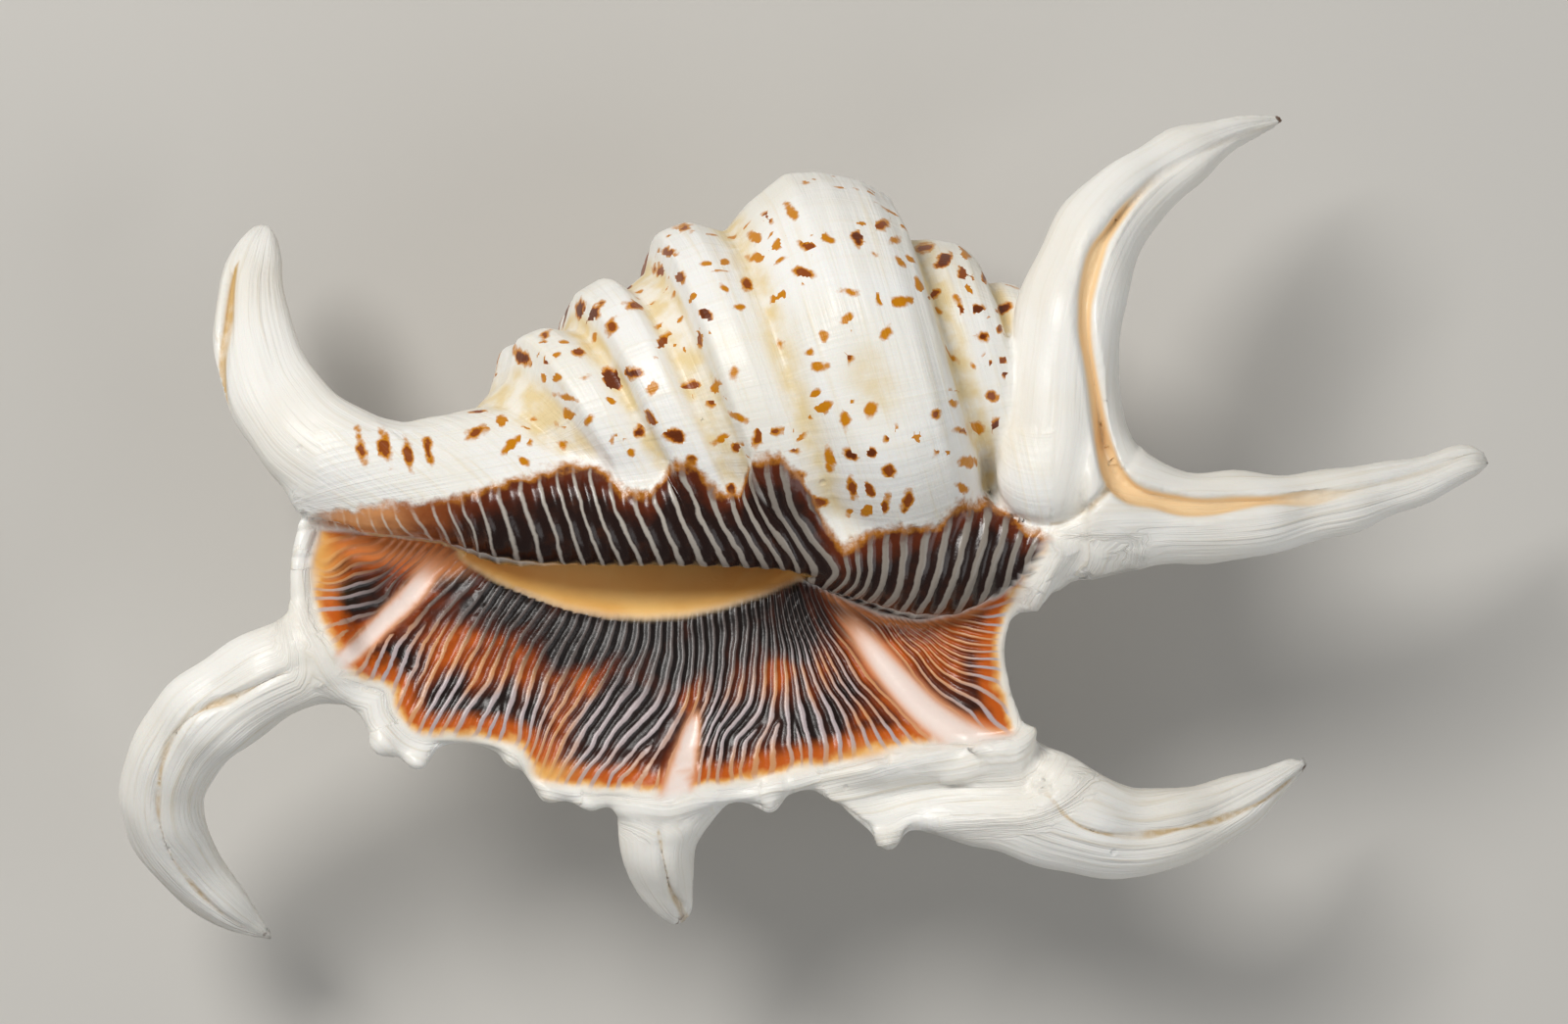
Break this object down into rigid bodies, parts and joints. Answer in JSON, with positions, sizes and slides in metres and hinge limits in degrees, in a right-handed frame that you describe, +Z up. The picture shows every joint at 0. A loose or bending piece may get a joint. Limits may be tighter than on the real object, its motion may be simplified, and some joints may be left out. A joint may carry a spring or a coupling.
{
  "type": "spider conch shell",
  "caption": "Spider conch shell with coiled whorls, a flared lip around a slit aperture, and long curved fingers.",
  "frame": {"origin": "centre of the shell's outline in plan, at the level of the surface it lies on", "axes": "+X from the siphonal canal towards the apex, +Y from the flared lip towards the whorls, +Z up out of the aperture"},
  "size_m": [0.1763, 0.1074, 0.0606],
  "materials": {
    "shell": "natural shell, satin white with a glossy striped aperture"
  },
  "bodies": {
    "root": {"shell": "shell"}
  },
  "joints": []
}
